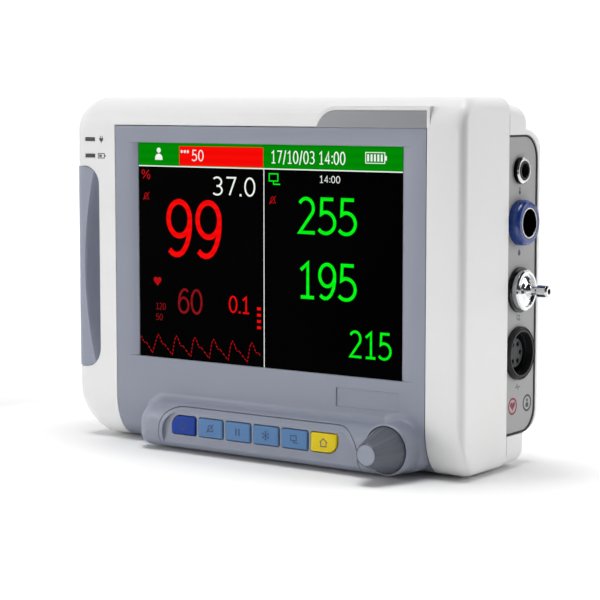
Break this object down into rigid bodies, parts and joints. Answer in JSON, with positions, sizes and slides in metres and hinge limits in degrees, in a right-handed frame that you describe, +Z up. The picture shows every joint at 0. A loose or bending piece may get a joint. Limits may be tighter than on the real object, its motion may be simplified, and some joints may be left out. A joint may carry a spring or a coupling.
{
  "type": "patient monitor",
  "caption": "Compact bedside patient monitor: white moulded case, grey bezel round a screen, key bar with push keys and a turning knob, hand grip on one side and sensor sockets on the other.",
  "frame": {"origin": "centre of the bounding box in plan, on the surface that the feet stand on", "axes": "+X along the front to the socket side, +Y from the front to the back, +Z up"},
  "size_m": [0.2304, 0.095, 0.163],
  "materials": {
    "shell_white": "fine moulded grain",
    "bezel_grey": "fine moulded grain",
    "knob_grey": "satin",
    "panel_grey": "satin",
    "screen": "clear cover over a lit display",
    "lens": "smoked, translucent",
    "light_pipe": "smoked, translucent",
    "key_blue": "silicone",
    "key_light_blue": "silicone",
    "key_yellow": "silicone",
    "black_plastic": "moulded",
    "blue_plastic": "moulded",
    "rubber": "matt",
    "board": "laminate with solder mask",
    "steel": "zinc plated",
    "chrome": "bright plated",
    "aluminium": "sheet",
    "brass": "turned",
    "battery_sleeve": "shrunk film",
    "hose": "clear silicone",
    "pump_grey": "satin"
  },
  "bodies": {
    "monitor": {"front_housing": "shell_white", "rear_housing": "shell_white", "front_bezel": "bezel_grey", "display_window": "screen", "window_gasket": "rubber", "lcd_panel": "black_plastic", "lcd_bracket": "aluminium", "main_board": "board", "board_screws": "steel", "alarm_lens": "lens", "alarm_board": "board", "indicator_lights": "light_pipe", "indicator_board": "board", "grip": "bezel_grey", "key_panel": "bezel_grey", "key_switches": "black_plastic", "key_board": "board", "encoder_body": "black_plastic", "encoder_nut": "steel", "connector_panel": "panel_grey", "panel_gasket": "rubber", "temp_jack": "black_plastic", "temp_nut": "chrome", "spo2_socket": "blue_plastic", "spo2_liner": "chrome", "spo2_insert": "black_plastic", "nibp_port": "chrome", "nibp_seal": "rubber", "ecg_socket": "black_plastic", "ecg_insert": "black_plastic", "parameter_board": "board", "nibp_pump": "pump_grey", "nibp_valve": "pump_grey", "air_hoses": "hose", "power_supply": "board", "battery_pack": "battery_sleeve", "battery_clamp": "aluminium", "speaker": "black_plastic", "mains_inlet": "black_plastic", "ground_stud": "brass", "rubber_feet": "rubber", "case_screws": "steel", "mount_inserts": "brass"},
    "power_button": {"power_key": "key_blue", "power_plunger": "black_plastic"},
    "silence_button": {"silence_key": "key_light_blue", "silence_plunger": "black_plastic"},
    "pause_button": {"pause_key": "key_light_blue", "pause_plunger": "black_plastic"},
    "freeze_button": {"freeze_key": "key_light_blue", "freeze_plunger": "black_plastic"},
    "nibp_button": {"nibp_key": "key_light_blue", "nibp_plunger": "black_plastic"},
    "main_button": {"main_key": "key_yellow", "main_plunger": "black_plastic"},
    "push_switch": {"encoder_plunger": "brass"},
    "knob": {"knob": "knob_grey", "knob_cap": "knob_grey", "encoder_shaft": "steel"}
  },
  "joints": [
    {"name": "power_press", "type": "slide", "parent": "monitor", "child": "power_button", "axis": [0, 1, 0], "range_m": [0, 0.0009], "stiffness_N_per_m": 900},
    {"name": "silence_press", "type": "slide", "parent": "monitor", "child": "silence_button", "axis": [0, 1, 0], "range_m": [0, 0.0009], "stiffness_N_per_m": 900},
    {"name": "pause_press", "type": "slide", "parent": "monitor", "child": "pause_button", "axis": [0, 1, 0], "range_m": [0, 0.0009], "stiffness_N_per_m": 900},
    {"name": "freeze_press", "type": "slide", "parent": "monitor", "child": "freeze_button", "axis": [0, 1, 0], "range_m": [0, 0.0009], "stiffness_N_per_m": 900},
    {"name": "nibp_press", "type": "slide", "parent": "monitor", "child": "nibp_button", "axis": [0, 1, 0], "range_m": [0, 0.0009], "stiffness_N_per_m": 900},
    {"name": "main_press", "type": "slide", "parent": "monitor", "child": "main_button", "axis": [0, 1, 0], "range_m": [0, 0.0009], "stiffness_N_per_m": 900},
    {"name": "knob_push", "type": "slide", "parent": "monitor", "child": "push_switch", "axis": [0, 1, 0], "range_m": [0, 0.0005], "stiffness_N_per_m": 4000},
    {"name": "knob_turn", "type": "hinge", "parent": "push_switch", "child": "knob", "pos_m": [0.0714, -0.0329, 0.0135], "axis": [0, 1, 0], "continuous": true}
  ]
}
